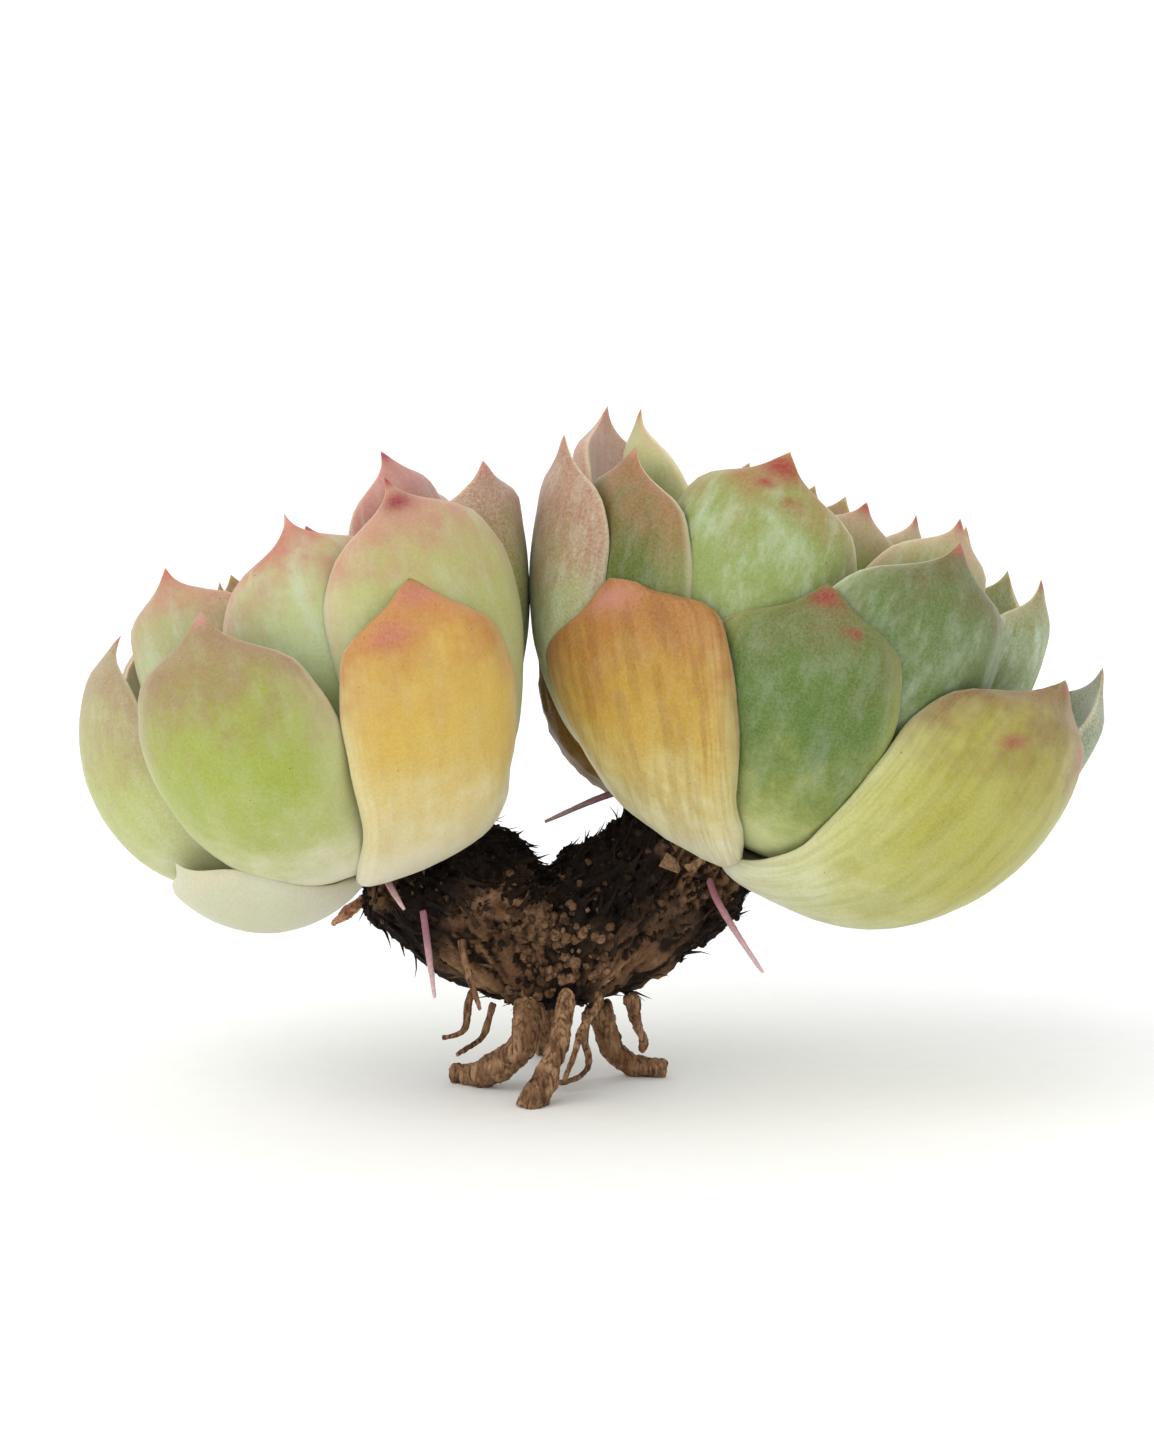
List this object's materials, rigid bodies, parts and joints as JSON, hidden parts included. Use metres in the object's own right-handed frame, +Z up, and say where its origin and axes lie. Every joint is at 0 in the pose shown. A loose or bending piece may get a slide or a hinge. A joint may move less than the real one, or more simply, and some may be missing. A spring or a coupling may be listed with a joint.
{
  "type": "bare-root two-headed rosette succulent",
  "caption": "Bare-root rosette succulent with twin heads of thick cupped leaves on one forked woody stem, standing on its own short cut roots.",
  "frame": {"origin": "on the ground plane, under the middle of the plant's box", "axes": "+Z up; -Y towards the front, where both rosettes show their outer leaves; +X towards the right and larger rosette"},
  "size_m": [0.1034, 0.0566, 0.068],
  "materials": {
    "leaf_flesh": "waxy, satin",
    "bark": "rough, dry bark",
    "root_wood": "rough, grained",
    "young_root": "smooth, slightly translucent",
    "dry_leaf": "dry, wrinkled"
  },
  "bodies": {
    "root": {"aerial_root_left": "young_root", "aerial_root_middle": "young_root", "aerial_root_right": "young_root", "aerial_root_window": "young_root", "dry_leaf_scale": "dry_leaf", "forked_stem": "bark", "left_leaf_01": "leaf_flesh", "left_leaf_02": "leaf_flesh", "left_leaf_03": "leaf_flesh", "left_leaf_04": "leaf_flesh", "left_leaf_05": "leaf_flesh", "left_leaf_06": "leaf_flesh", "left_leaf_07": "leaf_flesh", "left_leaf_08": "leaf_flesh", "left_leaf_09": "leaf_flesh", "left_leaf_10": "leaf_flesh", "left_leaf_11": "leaf_flesh", "left_leaf_12": "leaf_flesh", "left_leaf_13": "leaf_flesh", "left_leaf_14": "leaf_flesh", "left_leaf_15": "leaf_flesh", "left_leaf_16": "leaf_flesh", "left_leaf_17": "leaf_flesh", "left_leaf_18": "leaf_flesh", "left_leaf_19": "leaf_flesh", "left_leaf_20": "leaf_flesh", "right_leaf_01": "leaf_flesh", "right_leaf_02": "leaf_flesh", "right_leaf_03": "leaf_flesh", "right_leaf_04": "leaf_flesh", "right_leaf_05": "leaf_flesh", "right_leaf_06": "leaf_flesh", "right_leaf_07": "leaf_flesh", "right_leaf_08": "leaf_flesh", "right_leaf_09": "leaf_flesh", "right_leaf_10": "leaf_flesh", "right_leaf_11": "leaf_flesh", "right_leaf_12": "leaf_flesh", "right_leaf_13": "leaf_flesh", "right_leaf_14": "leaf_flesh", "right_leaf_15": "leaf_flesh", "right_leaf_16": "leaf_flesh", "right_leaf_17": "leaf_flesh", "right_leaf_18": "leaf_flesh", "right_leaf_19": "leaf_flesh", "right_leaf_20": "leaf_flesh", "right_leaf_21": "leaf_flesh", "right_leaf_22": "leaf_flesh", "right_leaf_23": "leaf_flesh", "right_leaf_24": "leaf_flesh", "root_back": "root_wood", "root_flap": "root_wood", "root_front": "root_wood", "root_left": "root_wood", "root_right": "root_wood", "rootlet_broken": "root_wood", "rootlet_front": "root_wood", "rootlet_left_high": "root_wood", "rootlet_left_low": "root_wood", "rootlet_loop": "root_wood"}
  },
  "joints": []
}
